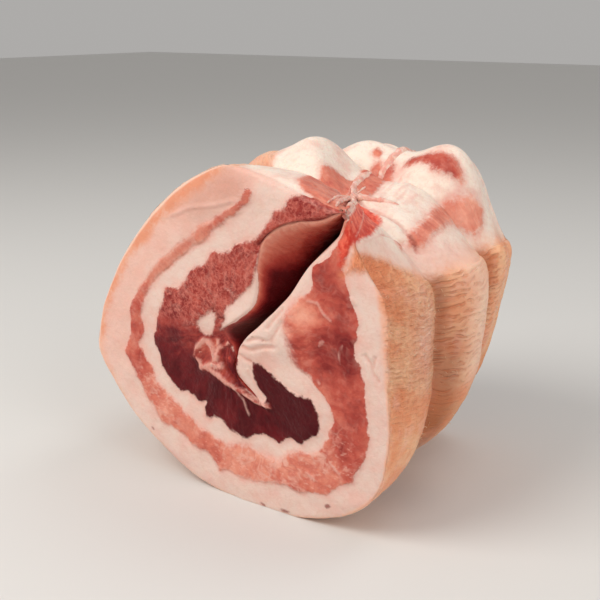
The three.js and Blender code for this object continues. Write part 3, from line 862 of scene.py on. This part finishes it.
rindRun = rindTravel()
grid, faces = slabMesh()
at = whereabouts(grid)
marks = paintMarks(at)
paint = {**paintMeat(at), **marks, **paintFat(at, marks["hide"]), **paintRind(at), **paintRuns(at)}
place = carve(slabPoint(at.u, at.v, at.y), grid, at, paint, faces)
low, high = place.min(0), place.max(0)
home = np.array([500 * (nodeLow.x + nodeHigh.x) - 0.5 * (low[0] + high[0]),
                 500 * (nodeLow.y + nodeHigh.y) - 0.5 * (low[1] + high[1]),
                 1000 * nodeLow.z - low[2]])
print("slab mesh:", len(place), "vertices", len(faces), "triangles, moved by", home.round(2))


def meshPiece(name, points, triangles):  # points in mm in the roll's own place
    mesh = bpy.data.meshes.new(name)
    mesh.vertices.add(len(points))
    mesh.vertices.foreach_set("co", ((points + home) / 1000).astype(np.float32).ravel())
    triangles = np.asarray(triangles, np.int32)
    mesh.loops.add(triangles.size)
    mesh.loops.foreach_set("vertex_index", triangles.ravel())
    mesh.polygons.add(len(triangles))
    mesh.polygons.foreach_set("loop_start", np.arange(0, triangles.size, 3, dtype=np.int32))
    mesh.update(calc_edges=True)
    mesh.shade_smooth()
    return addObject(name, mesh)


def giveAttributes(piece, values):
    for name, value in values.items():
        if value.ndim == 1:
            attribute = piece.data.attributes.new(name, "FLOAT", "POINT")
            attribute.data.foreach_set("value", value.astype(np.float32))
        else:
            attribute = piece.data.attributes.new(name, "FLOAT_VECTOR", "POINT")
            attribute.data.foreach_set("vector", value.astype(np.float32).ravel())


slab = meshPiece("pork_roll", place, faces)
giveAttributes(slab, paint)


class Wire:  # a socket that takes part in an expression
    def __init__(self, mix, socket):
        self.mix, self.socket = mix, socket

    def math(self, operation, first, second=0.0):
        return self.mix.node("ShaderNodeMath", {0: first, 1: second}, operation=operation)

    def __add__(self, other):
        return self.math("ADD", self, other)

    def __sub__(self, other):
        return self.math("SUBTRACT", self, other)

    def __mul__(self, other):
        return self.math("MULTIPLY", self, other)

    def __truediv__(self, other):
        return self.math("DIVIDE", self, other)

    def __rsub__(self, other):
        return self.math("SUBTRACT", other, self)

    def __rtruediv__(self, other):
        return self.math("DIVIDE", other, self)

    __radd__ = __add__
    __rmul__ = __mul__


def tint(red, green, blue):  # screen colour, 0 to 255, as linear values
    def linear(c):
        c /= 255
        return c / 12.92 if c <= 0.04045 else ((c + 0.055) / 1.055) ** 2.4
    return linear(red), linear(green), linear(blue), 1.0


class Tree:  # adds any node: its settings first, then its sockets
    def node(self, kind, inputs=None, output=0, **settings):
        made = self.tree.nodes.new(kind)
        for key, value in settings.items():
            if key == "stops":
                ramp = made.color_ramp.elements
                while len(ramp) < len(value):
                    ramp.new(1.0)
                for element, (position, color) in zip(ramp, value):
                    element.position = position
                    element.color = color
            else:
                setattr(made, key, value)
        for key, value in (inputs or {}).items():
            if isinstance(value, Wire):
                self.tree.links.new(value.socket, made.inputs[key])
            else:
                made.inputs[key].default_value = value
        return Wire(self, made.outputs[output])

    def vectorMath(self, operation, first, second):
        return self.node("ShaderNodeVectorMath", {0: first, 1: second}, operation=operation)


class Finish(Tree):  # one material and its named colours
    def __init__(self, name, colors=None, **constants):
        self.colors = colors
        self.material = bpy.data.materials.new(name)
        self.material.use_nodes = True
        self.tree = self.material.node_tree
        self.shader = self.tree.nodes["Principled BSDF"]
        for socket, value in constants.items():
            self.shader.inputs[socket.replace("_", " ")].default_value = value

    def feed(self, socket, wire):
        self.tree.links.new(wire.socket, self.shader.inputs[socket])

    def value(self, name, output="Fac"):
        return self.node("ShaderNodeAttribute", output=output, attribute_name=name)

    def millimetres(self):
        return self.scaled(self.node("ShaderNodeTexCoord", output="Object"), 1000.0)

    def scaled(self, vector, by):
        by = (by, by, by) if isinstance(by, float) else by
        return self.vectorMath("MULTIPLY", vector, by)

    def cell(self, vector, size):  # one size or three
        return self.scaled(vector, 1 / size if isinstance(size, float) else tuple(1 / s for s in size))

    def warped(self, vector, size, amount):
        push = self.vectorMath("SUBTRACT", self.noise(vector, size, 2.0, 0.5, "Color"), (0.5, 0.5, 0.5))
        return self.vectorMath("ADD", vector, self.scaled(push, amount))

    def noise(self, vector, size, detail=3.0, rough=0.6, output=0):
        return self.node("ShaderNodeTexNoise", {
            "Vector": self.cell(vector, size), "Scale": 1.0, "Detail": detail, "Roughness": rough}, output)

    def cells(self, vector, size, feature="F1", output="Distance"):
        return self.node("ShaderNodeTexVoronoi", {"Vector": self.cell(vector, size), "Scale": 1.0}, output,
                         feature=feature)

    def step(self, value, low, high):  # 0 below low, 1 above high, smooth between
        return self.node("ShaderNodeMapRange", {"Value": value, "From Min": low, "From Max": high},
                         interpolation_type="SMOOTHSTEP")

    def patches(self, vector, size, low, high, detail=3.0, rough=0.6):
        return self.step(self.noise(vector, size, detail, rough), low, high)

    def threads(self, vector, size, width, detail=3.0, rough=0.6):  # 1 where the noise crosses its middle
        centred = self.noise(vector, size, detail, rough) - 0.5
        away = self.node("ShaderNodeMath", {0: centred}, operation="ABSOLUTE")
        return 1.0 - self.step(away, 0.0, width)

    def blend(self, factor, *colors):  # each a wire or a colour's name
        first, second = (self.colors[c] if isinstance(c, str) else c for c in colors)
        return self.node("ShaderNodeMix", {0: factor, 6: first, 7: second}, 2, data_type="RGBA")

    def covered(self, color, *coats):  # each coat an amount and a colour, from below upwards
        for amount, over in coats:
            color = self.blend(amount, color, over)
        return color

    def ramp(self, value, stops):
        return self.node("ShaderNodeValToRGB", {0: value}, "Color", stops=self.colors[stops])

    def bump(self, height, distance, strength):
        return self.node("ShaderNodeBump", {
            "Height": height, "Distance": distance, "Strength": strength}, "Normal")


pork = {
    # fatTop, for the long edges on top, is lighter in part as painted top light
    "fat": tint(234, 207, 194), "fatTop": tint(248, 231, 216), "fatPink": tint(234, 184, 170),
    "fatShade": tint(222, 174, 156), "blush": tint(238, 184, 167), "shade": tint(206, 138, 116),
    "rose": tint(206, 146, 142),
    "leanStops": [
        (0.0, tint(240, 166, 142)), (0.25, tint(220, 128, 106)), (0.45, tint(190, 84, 70)),
        (0.62, tint(152, 54, 48)), (0.8, tint(112, 22, 27)), (1.0, tint(78, 5, 14))],
    "fleck": tint(238, 182, 164), "septum": tint(206, 112, 98),
    "fleckDark": tint(150, 62, 58), "septumDark": tint(152, 70, 66),
    # painted shade on the fold's wall, from its pale rim inwards
    "wallShadeStops": [
        (0.0, tint(230, 158, 136)), (0.18, tint(212, 118, 98)), (0.42, tint(180, 70, 60)),
        (0.7, tint(132, 32, 34)), (1.0, tint(92, 14, 20))],
    "film": tint(160, 104, 98), "shred": tint(234, 172, 156), "shredRed": tint(196, 92, 80),
    "fresh": tint(210, 58, 44), "freshLight": tint(240, 112, 88), "stain": tint(230, 132, 88),
    "bandGlow": tint(232, 155, 123), "bandPale": tint(246, 210, 190),
    # painted shade in the creases: on lean, on fat, on the long edges
    "crease": tint(120, 30, 28), "fatCrease": tint(220, 146, 126), "edgeCrease": tint(200, 96, 82),
    "spot": tint(140, 66, 58),
    "skin": tint(255, 196, 154), "skinWarm": tint(246, 162, 118), "skinMauve": tint(253, 190, 168),
    "skinGold": tint(208, 126, 66), "skinLight": tint(255, 220, 198), "furrow": tint(196, 98, 54),
    # painted shade for the strings' valleys
    "waist": tint(140, 66, 32),
}


def leanColor(f, place, bent, streaks, lean):
    tone, marble, grainy = f.value("tone"), f.value("marble"), f.value("grainy")
    bundleTone = f.cells(bent, (7.0, 1.5, 1.5), output="Color")
    bundleEdge = f.cells(bent, (7.0, 1.5, 1.5), "DISTANCE_TO_EDGE")
    sweeps = f.noise(bent, (12.0, 4.0, 4.0), 2.0, 0.5) - 0.5
    blotches = f.noise(place, 6.5, 3.0, 0.55) - 0.5
    grain = f.noise(place, 2.1, 3.0, 0.62) - 0.5
    uneven = (bundleTone - 0.5) * (0.1 - grainy * 0.06) + grain * (0.16 + grainy * 0.06)
    uneven = uneven + sweeps * 0.5 * (1.0 - grainy * 0.5) + blotches * 0.4
    uneven = (uneven + (streaks - 0.5) * 0.24) * (1.0 - f.step(tone, 0.75, 1.1) * 0.5)
    meat = f.ramp(tone + uneven, "leanStops")
    darkness = f.step(tone, 0.55, 0.95)
    septum = f.blend(darkness, "septum", "septumDark")
    fleck = f.blend(darkness, "fleck", "fleckDark")
    bundleLine = (1.0 - f.step(bundleEdge, 0.01, 0.14)) * marble * 0.28 * (1.0 - grainy)
    grainLine = f.threads(place, 2.6, 0.09, 2.0) * grainy * 0.55
    clumps = f.patches(place, 1.5, 0.48, 0.64) * grainy * 0.4
    veins = f.threads(bent, (8.0, 3.4, 3.4), 0.08) * f.patches(place, 5.0, 0.4, 0.62, 2.0, 0.5) * marble
    flecks = f.patches(place, (2.4, 1.2, 1.2), 0.53, 0.68) * f.step(marble, 0.3, 1.1)
    feather = f.step(streaks - lean * 0.07 + blotches * 0.3, 0.48, 0.66) * (0.02 + marble * 0.6)
    return f.covered(meat, (bundleLine + grainLine + clumps, septum), (veins * 0.45, fleck),
                     (flecks * 0.5, fleck), (feather, fleck))


def fatColor(f, place, lean, onEdge):
    clouds = f.noise(place, 10.0)
    pinkness = f.step(clouds, 0.42, 0.72) * 0.6 + f.step(lean, -2.4, -0.1) * 0.45 + 0.12 - onEdge * 0.1
    return f.covered(
        # the long edges face up: their fat is less pink and lighter, partly painted top light
        f.blend(onEdge, "fat", "fatTop"),
        (pinkness, "fatPink"),
        (f.value("blush") * (0.4 + clouds * 0.5), "blush"),
        (f.threads(place, 6.0, 0.03, 3.0, 0.65) * 0.2, "fatShade"),
        (f.patches(place, 2.6, 0.5, 0.75) * 0.24, "fatShade"))


def skinRelief(f, skin):  # heights from 0, furrow, to 1, ridge
    way = f.node("ShaderNodeSeparateXYZ", {0: skin})
    drift = (f.noise(skin, (12.0, 12.0, 9.0), 2.0, 0.5) - 0.5) * 3.4
    drift = drift + (f.noise(skin, (3.5, 5.0, 9.0), 2.0, 0.5) - 0.5) * 1.1
    wave = f.node("ShaderNodeMath", {0: (way / 2.1 + drift) * 2 * math.pi}, operation="SINE")
    presence = f.patches(skin, (2.4, 4.4, 9.0), 0.36, 0.62, 2.0, 0.5) * f.value("pleats")
    pleat = 1.0 - (1.0 - f.step(wave, -1.0, 0.5)) * presence
    net = 1.0 - (1.0 - f.patches(skin, (0.95, 3.6, 9.0), 0.36, 0.66, 2.5)) * f.value("net")
    crossed = f.patches(skin, (4.0, 1.4, 9.0), 0.36, 0.5, 2.0, 0.55)
    return pleat, net - (1.0 - crossed) * f.value("net") * 0.3


def hideColor(f, skin, pleat, net):
    mottle = f.noise(skin, (13.0, 17.0, 9.0))
    mauve = f.value("mauve")
    # rosy patches at random, stronger on the mauve flank, where they are partly painted highlight
    rosy = f.patches(skin, (9.0, 7.0, 9.0), 0.5, 0.7) * 0.45 + mauve * 0.6
    # glints: painted highlights on the mauve flank
    glints = f.patches(skin, (1.3, 2.6, 9.0), 0.5, 0.64) * mauve
    pits = 1.0 - f.step(f.cells(skin, (4.4, 5.6, 9.0)), 0.03, 0.1)
    return f.covered(
        f.blend(f.step(mottle, 0.36, 0.62), "skinWarm", "skin"),
        (rosy, "skinMauve"),
        # darker golden brown low on the rind, partly painted shade
        (f.value("gold") * f.step(mottle, 0.2, 0.6) * 0.85, "skinGold"),
        (f.value("stain") * (0.35 + mottle * 0.8), "stain"),
        # painted shade in the strings' valleys
        (f.value("waist") * (0.4 + mottle * 0.5), "waist"),
        # the pale rim, partly painted highlight
        (f.value("paleRim") * 0.8, "bandPale"),
        # painted highlights on the second bulge's crest and glints on the first bulge's flank
        (f.value("crest") * 0.65 + glints * 0.5, "skinLight"),
        # painted shade in the wrinkles' furrows, then in the pits
        ((1.0 - pleat) * 0.4 + (1.0 - net) * 0.24, "furrow"),
        (pits * 0.35, "furrow"))


def porkFinish():
    f = Finish("raw_pork", pork, Subsurface_Weight=0.15, Subsurface_Scale=0.002, Coat_Roughness=0.15,
               Specular_IOR_Level=0.12, Subsurface_Radius=(1.0, 0.4, 0.25))
    place = f.millimetres()
    fibre, skin = f.value("fibre", "Vector"), f.value("skin", "Vector")
    lean, soft, onEdge = f.value("lean"), f.value("soft"), f.value("onEdge")
    coarse = f.noise(place, 1.8) - 0.5
    drifts = f.noise(place, 9.0, 2.0, 0.5) - 0.5
    bent = f.warped(fibre, 7.0, 5.0)
    streaks = f.noise(bent, (7.0, 1.7, 1.7), 3.0, 0.5)

    def mark(name, ragged, low, high):
        return f.step(f.value(name) + coarse * ragged, low, high)

    fray = coarse * (1.5 + soft * 4.0) + (f.noise(place, 0.6, 2.0) - 0.5) * 0.9
    leanMask = f.step((lean + fray) / (soft * 2.2 + 0.3), -1.0, 1.0)
    # painted shade on the fold's wall, darker deeper in and lower down
    depth = f.value("depth") * 0.3 + (streaks - 0.5) * 0.34 + coarse * 0.16
    shadedWallColor = f.blend(f.value("film") * 0.5, f.ramp(depth, "wallShadeStops"), "film")
    falls = f.patches(place, (2.2, 2.2, 4.0), 0.4, 0.62, 4.0, 0.65)
    band, glow = f.value("band"), f.value("glow")
    bandMask = f.step(band + coarse * 0.3 + drifts * 0.8, -0.2, 0.6)
    # the band's pale outer lip on the left: its own paler colour, partly painted highlight
    outerPale = f.step(band + coarse * 0.16, 0.66, 0.86) * f.value("leftSide")
    glowing = glow * (1.0 - outerPale * 0.9) * (0.85 + coarse + drifts)
    pinks = f.step(f.noise(place, 2.6) + f.value("shred") * 0.12, 0.4, 0.62)
    # painted shade in the creases
    creaseShade = f.blend(leanMask, f.blend(onEdge, "fatCrease", "edgeCrease"), "crease")
    pleat, net = skinRelief(f, skin)
    hide = f.value("hide")
    hideMask = f.step(hide + coarse * 2.6 + drifts * 3.0, -2.2, 2.4)
    f.feed("Base Color", f.covered(
        fatColor(f, place, lean, onEdge),
        (leanMask, leanColor(f, place, bent, streaks, lean)),
        (f.value("shade"), "shade"),
        (f.value("wall") * leanMask, shadedWallColor),
        (mark("red", 3.4, -0.8, 1.6) * 0.96, f.blend(falls, "fresh", "freshLight")),
        (bandMask * (0.4 + glow * 0.6), f.blend(glowing, "bandPale", "bandGlow")),
        (f.value("rose") * (0.6 + drifts * 2.0), "rose"),
        (mark("shred", 1.4, -0.8, 0.7) * 0.85, f.blend(pinks, "shredRed", "shred")),
        (mark("strand", 0.9, -0.6, 0.4) * 0.6, "fatPink"),
        # creases painted darker: painted shade
        (mark("crease", 0.8, -0.7, 0.4) * (0.45 + leanMask * 0.2), creaseShade),
        (mark("spot", 1.2, -0.5, 0.5) * 0.8, "spot"),
        (hideMask, hideColor(f, skin, pleat, net))))
    f.feed("Roughness", 0.46 - leanMask * 0.1 + hideMask * 0.06 + coarse * 0.3)
    f.feed("Coat Weight", 0.06 + hideMask * (0.12 + f.value("mauve") * 0.3))
    isLean, isSkin = f.step(lean, -0.5, 0.5), f.step(hide, -1.5, 2.0)
    cutHeight = streaks * 0.35 * isLean + f.noise(place, 2.8, 4.0, 0.58) * (0.8 + isLean * 0.4)
    skinHeight = pleat * 0.95 + net * 0.9
    f.feed("Normal", f.bump(cutHeight * (1.0 - isSkin) + skinHeight * isSkin, 0.0006, 0.9))
    return f.material


slab.data.materials.append(porkFinish())
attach(slab, "root")
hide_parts("pork_belly_roll")
print("pork finished")


class Recipe(Tree):  # geometry nodes with named inputs
    def __init__(self, name, inputs):
        self.tree = bpy.data.node_groups.new(name, "GeometryNodeTree")
        sockets = self.tree.interface
        sockets.new_socket("Geometry", in_out="INPUT", socket_type="NodeSocketGeometry")
        self.values = {}
        for label, value in inputs.items():
            kind = {float: "Float", int: "Int"}.get(type(value), "Material")
            made = sockets.new_socket(label, in_out="INPUT", socket_type="NodeSocket" + kind)
            self.values[made.identifier] = value
        sockets.new_socket("Geometry", in_out="OUTPUT", socket_type="NodeSocketGeometry")
        self.source = self.tree.nodes.new("NodeGroupInput")

    def input(self, label):
        return Wire(self, self.source.outputs[label])

    def value(self, name):
        return self.node("GeometryNodeInputNamedAttribute", {"Name": name}, data_type="FLOAT")

    def end(self, geometry):
        real = self.node("GeometryNodeRealizeInstances", {0: geometry})
        done = self.node("GeometryNodeSetMaterial", {"Geometry": real, "Material": self.input("Material")})
        out = self.tree.nodes.new("NodeGroupOutput")
        self.tree.links.new(done.socket, out.inputs[0])

    def apply(self, piece):
        modifier = piece.modifiers.new("recipe", "NODES")
        modifier.node_group = self.tree
        for identifier, value in self.values.items():
            modifier[identifier] = value
        finished = piece.evaluated_get(bpy.context.evaluated_depsgraph_get())
        mesh = bpy.data.meshes.new_from_object(finished)
        piece.modifiers.clear()
        piece.data = mesh


tissue = {
    "step": 0.5, "sides": 8,  # lengths in mm
    "wobble": 0.8, "wobblesPerMetre": 450.0, "thickeningsPerMetre": 700.0, "seed": 4.0,
    # where, radius, then x, z and height over the front cut, or y, v and height over a long edge
    "strands": [
        ("cut", 0.5, [
            (-8.9, 56.8, 0.2), (-7.6, 54.6, 0.9), (-6.5, 52, 1.2), (-5.9, 49, 1.0), (-6.6, 46.8, 0.3)]),
        ("cut", 0.45, [(-4.4, 57.4, 0), (-4, 54.8, 0.7), (-4.8, 51.6, 1.0), (-5.2, 48.6, 0.8)]),
        ("cut", 0.4, [(-14.8, 49.8, 0), (-13.2, 53, 0.5), (-11.2, 55.6, 0.5), (-9.4, 56.6, 0.1)]),
        ("cut", 0.5, [
            (-11.6, 45.6, 0.3), (-9.2, 46.9, 0.9), (-6.2, 47.9, 1.1), (-3.4, 47.6, 0.7), (-2, 46.6, 0)]),
        ("left", 0.7, [(1, 0.09, 0), (9, 0.08, 0.4), (20, 0.05, 0.3), (32, 0.03, 0.2), (42, 0.01, 0.3)]),
        ("left", 0.5, [(2, 0.16, -0.2), (12, 0.13, 0.3), (24, 0.09, 0.2), (36, 0.03, 0.1)]),
        ("right", 1.0, [
            (41, 0.0, 0.5), (43, 0.07, 0.5), (45, 0.21, 0.3), (46.5, 0.33, 0.2), (48, 0.45, -0.4)]),
        ("right", 0.4, [(44, 0.03, 0.2), (52, 0.08, 0.2), (62, 0.08, -0.2)]),
    ],
    # short loose threads on the front cut
    "frays": {
        "middle": (-9.5, 51), "reach": (3.6, 4.32), "count": 5, "length": 3.0, "radius": 0.28, "seed": 11},
    "seam": {
        "from": 3.5, "to": 96.0, "step": 1.0, "v": 0.045, "across": 12, "thick": 1.6,
        "dome": 1.1, "brim": 0.9, "rough": 0.35,
        "endDrop": 1.6, "endRun": (2, 11)},
    "colors": {"pale": tint(247, 210, 194), "pink": tint(233, 168, 152), "red": tint(196, 88, 76)},
    "redUntil": (-48.0, -38.0),  # y from the part's middle
}


def onSurface(where, a, b, height):
    if where == "cut":
        x, z = shaped(np.array([float(a)]), 0.0, np.array([float(b)]))
        return np.array([x[0], -spread(joint["frontSwells"], x[0], z[0]) - height, z[0]])
    u = np.array([0.0 if where == "left" else 1.0])
    return slabPoint(u, np.array([float(b)]), np.array([float(a)]))[0] + [0, 0, height]


def frayRoutes():
    frays = tissue["frays"]
    random = np.random.default_rng(frays["seed"])
    for _ in range(frays["count"]):
        spot = np.array(frays["middle"]) + random.uniform(-1, 1, 2) * frays["reach"]
        turn = random.uniform(0, 2 * math.pi)
        half = 0.5 * frays["length"] * random.uniform(0.5, 1.2)
        step = half * np.array([math.cos(turn), math.sin(turn)])
        bow = random.uniform(-0.5, 0.5) * np.array([-step[1], step[0]])
        lift = random.uniform(0.1, 0.6)
        route = [(*(spot - step), -0.1), (*(spot + bow), lift), (*(spot + step), -0.1)]
        yield "cut", frays["radius"] * random.uniform(0.6, 1.3), route


def strandPiece():
    points, links, thick = [], [], []
    for where, radius, route in tissue["strands"] + list(frayRoutes()):
        for n, spot in enumerate(route):
            if n:
                links.append((len(points) - 1, len(points)))
            points.append(onSurface(where, *spot))
            ends = n in (0, len(route) - 1)
            thick.append(radius * (0.5 if ends else 1.0) / 1000)
    mesh = bpy.data.meshes.new("tissue_strands")
    mesh.from_pydata([((p + home) / 1000).tolist() for p in points], links, [])
    piece = addObject("tissue_strands", mesh)
    giveAttributes(piece, {"thick": np.array(thick)})
    return piece


def strandRecipe(material):
    g = Recipe("strands", {
        "Step": tissue["step"] / 1000, "Wobble": tissue["wobble"] / 1000, "Sides": tissue["sides"],
        "Seed": tissue["seed"], "Material": material})
    spot = g.node("GeometryNodeInputPosition")

    def noise(scale, output):
        inputs = {"Vector": spot, "W": g.input("Seed"), "Scale": scale, "Detail": 2.0}
        return g.node("ShaderNodeTexNoise", inputs, output, noise_dimensions="4D")

    curve = g.node("GeometryNodeMeshToCurve", {0: g.input("Geometry")})
    curve = g.node("GeometryNodeCurveSplineType", {0: curve}, spline_type="CATMULL_ROM")
    curve = g.node("GeometryNodeResampleCurve", {0: curve, "Length": g.input("Step")}, mode="LENGTH")
    shake = g.vectorMath("SUBTRACT", noise(tissue["wobblesPerMetre"], "Color"), (0.5, 0.5, 0.5))
    shake = g.node("ShaderNodeVectorMath", {0: shake, "Scale": g.input("Wobble")}, operation="SCALE")
    curve = g.node("GeometryNodeSetPosition", {"Geometry": curve, "Offset": shake})
    thick = g.value("thick") * (noise(tissue["thickeningsPerMetre"], 0) * 1.6 + 0.3)
    ring = g.node("GeometryNodeCurvePrimitiveCircle", {"Resolution": g.input("Sides"), "Radius": 1.0})
    tube = g.node("GeometryNodeCurveToMesh", {
        "Curve": curve, "Profile Curve": ring, "Scale": thick, "Fill Caps": True})
    g.end(g.node("GeometryNodeSetShadeSmooth", {0: tube}))
    return g


def seamPiece():  # thin skin that closes the seam between the slab's two long edges
    seam = tissue["seam"]
    ys = np.arange(seam["from"], seam["to"], seam["step"])
    v = np.full_like(ys, seam["v"])
    left, right = slabPoint(np.zeros_like(ys), v, ys), slabPoint(np.ones_like(ys), v, ys)
    t = np.linspace(0, 1, seam["across"] + 1)
    top = left[:, None] * (1 - t[:, None]) + right[:, None] * t[:, None]
    arch = seam["dome"] * np.sin(math.pi * t) - seam["brim"] * np.abs(2 * t - 1) ** 4
    risen = rise(ys, *seam["endRun"])[:, None]
    top[..., 2] += arch * risen - seam["endDrop"] * (1 - risen)
    spots = top.reshape(-1, 3)
    rough = lumps(spots, (1.6, 3.0, 1.6), 31) + 0.6 * lumps(spots, 1.2, 32)
    top[..., 2] += seam["rough"] * rough.reshape(top.shape[:2])
    under = top[:, ::-1] - [0, 0, seam["thick"]]
    rings = np.concatenate([top, under], 1)
    around = rings.shape[1]
    faces = []
    for k in range(len(ys) - 1):
        for i in range(around):
            a, b = k * around + i, k * around + (i + 1) % around
            faces += [(a, b, b + around), (a, b + around, a + around)]
    last = (len(ys) - 1) * around
    for i in range(1, around - 1):
        faces += [(0, i + 1, i), (last, last + i, last + i + 1)]
    return meshPiece("seam_skin", rings.reshape(-1, 3), faces)


def tissueFinish():
    f = Finish("pork_tissue", tissue["colors"], Subsurface_Weight=0.15, Subsurface_Scale=0.0015,
               Roughness=0.36, Specular_IOR_Level=0.3, Coat_Weight=0.15, Coat_Roughness=0.12)
    place = f.millimetres()
    way = f.node("ShaderNodeSeparateXYZ", {0: place}, 1)
    color = f.blend(f.patches(place, 2.8, 0.4, 0.62), "pink", "pale")
    redness = (f.patches(place, 4.0, 0.46, 0.7) * 0.5 + 0.25) * (1.0 - f.step(way, *tissue["redUntil"]))
    f.feed("Base Color", f.blend(redness, color, "red"))
    f.feed("Normal", f.bump(f.noise(place, 0.8), 0.0004, 0.8))
    return f.material


tissueMaterial = tissueFinish()
strands = strandPiece()
strandRecipe(tissueMaterial).apply(strands)
seamSkin = seamPiece()
seamSkin.data.materials.append(tissueMaterial)
for piece in (strands, seamSkin):
    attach(piece, "root")
print("tissue made:", len(strands.data.vertices), "vertices of strands")

bristles = {  # metres
    "perSquareMetre": 40000.0, "length": 0.0011, "radius": 0.00008, "tip": 0.4, "scale": (0.4, 1.2),
    "lean": 0.8, "spin": 6.0,  # largest, in radians
    "seed": 7, "color": tint(232, 204, 172)}


def bristleRecipe(material):
    g = Recipe("bristles", {
        "Density": bristles["perSquareMetre"], "Length": bristles["length"], "Radius": bristles["radius"],
        "Seed": bristles["seed"], "Material": material})
    seed, radius = g.input("Seed"), g.input("Radius")
    density = g.value("bristle") * g.input("Density")
    points = g.node("GeometryNodeDistributePointsOnFaces", {
        0: g.input("Geometry"), "Density": density, "Seed": seed})
    upright = Wire(g, points.socket.node.outputs["Rotation"])
    lean = bristles["lean"]
    tilt = g.node("FunctionNodeRandomValue", {
        0: (-lean, -lean, 0.0), 1: (lean, lean, bristles["spin"]), "Seed": seed}, data_type="FLOAT_VECTOR")
    tilt = g.node("FunctionNodeEulerToRotation", {0: tilt})
    turned = g.node("FunctionNodeRotateRotation", {0: upright, 1: tilt}, rotation_space="LOCAL")
    low, high = bristles["scale"]
    size = g.node("FunctionNodeRandomValue", {2: low, 3: high, "Seed": seed}, 1, data_type="FLOAT")
    stub = g.node("GeometryNodeMeshCone", {
        "Vertices": 4, "Radius Top": radius * bristles["tip"], "Radius Bottom": radius,
        "Depth": g.input("Length")})
    g.end(g.node("GeometryNodeInstanceOnPoints", {
        "Points": points, "Instance": stub, "Rotation": turned, "Scale": size}))
    return g


bristleFinish = Finish("bristle", Base_Color=bristles["color"], Roughness=0.4)
stubs = addObject("bristles", slab.data.copy())
bristleRecipe(bristleFinish.material).apply(stubs)
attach(stubs, "root")
print("bristles:", len(stubs.data.polygons), "faces")
